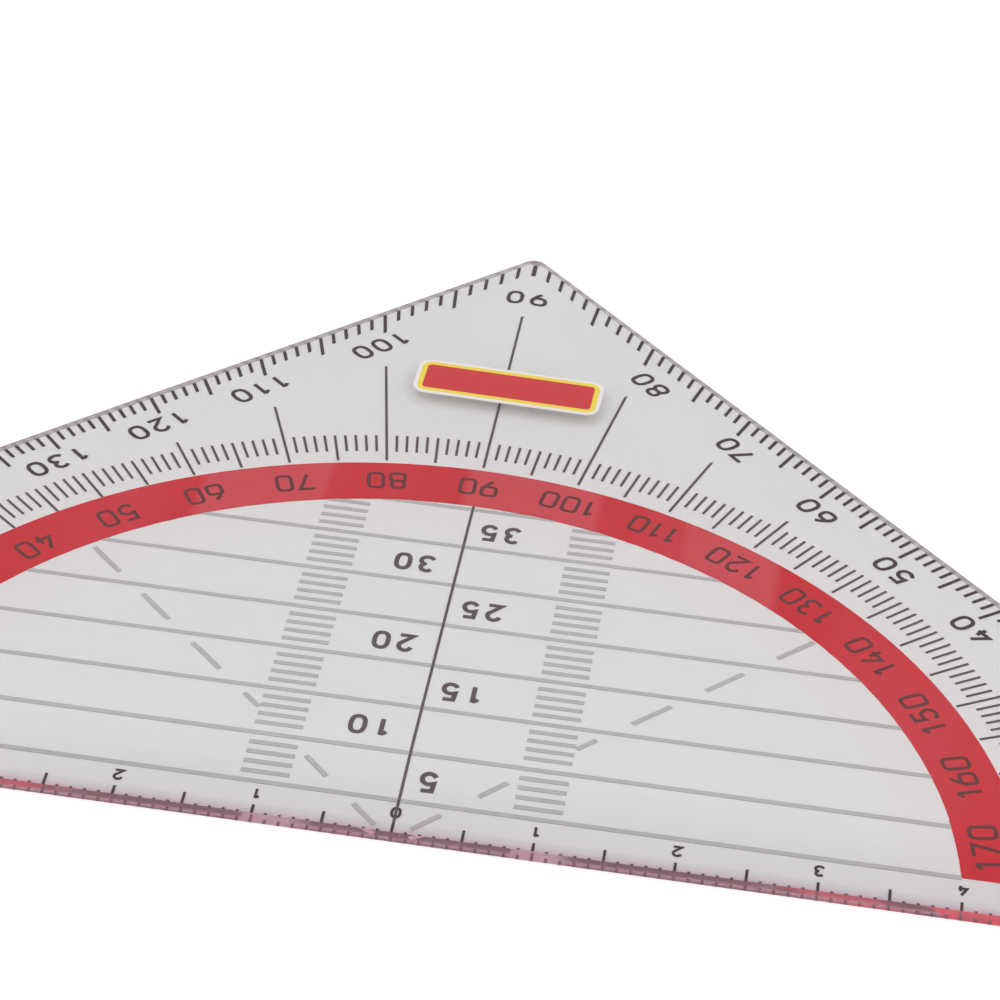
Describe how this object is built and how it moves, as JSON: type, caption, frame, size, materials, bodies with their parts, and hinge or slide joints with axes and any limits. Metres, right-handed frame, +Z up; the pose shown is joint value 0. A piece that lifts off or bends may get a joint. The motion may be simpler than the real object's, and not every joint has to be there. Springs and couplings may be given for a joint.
{
  "type": "drafting triangle",
  "caption": "Clear right-angled drafting triangle with bevelled edges, a ruling scale, a red protractor band, degree ticks and parallel guide lines.",
  "frame": {"origin": "middle of the outline's box, on the flat underside", "axes": "+X along the ruling edge, +Y towards the right-angled tip, +Z up from the table"},
  "size_m": [0.1506, 0.0766, 0.0019],
  "materials": {
    "clear_plastic": "polished",
    "black_ink": "printed",
    "red_ink": "printed"
  },
  "bodies": {
    "root": {"plate": "clear_plastic", "degree_ring_ticks": "black_ink", "ten_degree_lines": "black_ink", "side_ticks_left": "black_ink", "side_ticks_right": "black_ink", "ruling_scale": "black_ink", "parallel_lines": "black_ink", "centre_line": "black_ink", "ladder_left": "black_ink", "ladder_right": "black_ink", "diagonal_dashes": "black_ink", "protractor_band": "red_ink"}
  },
  "joints": []
}
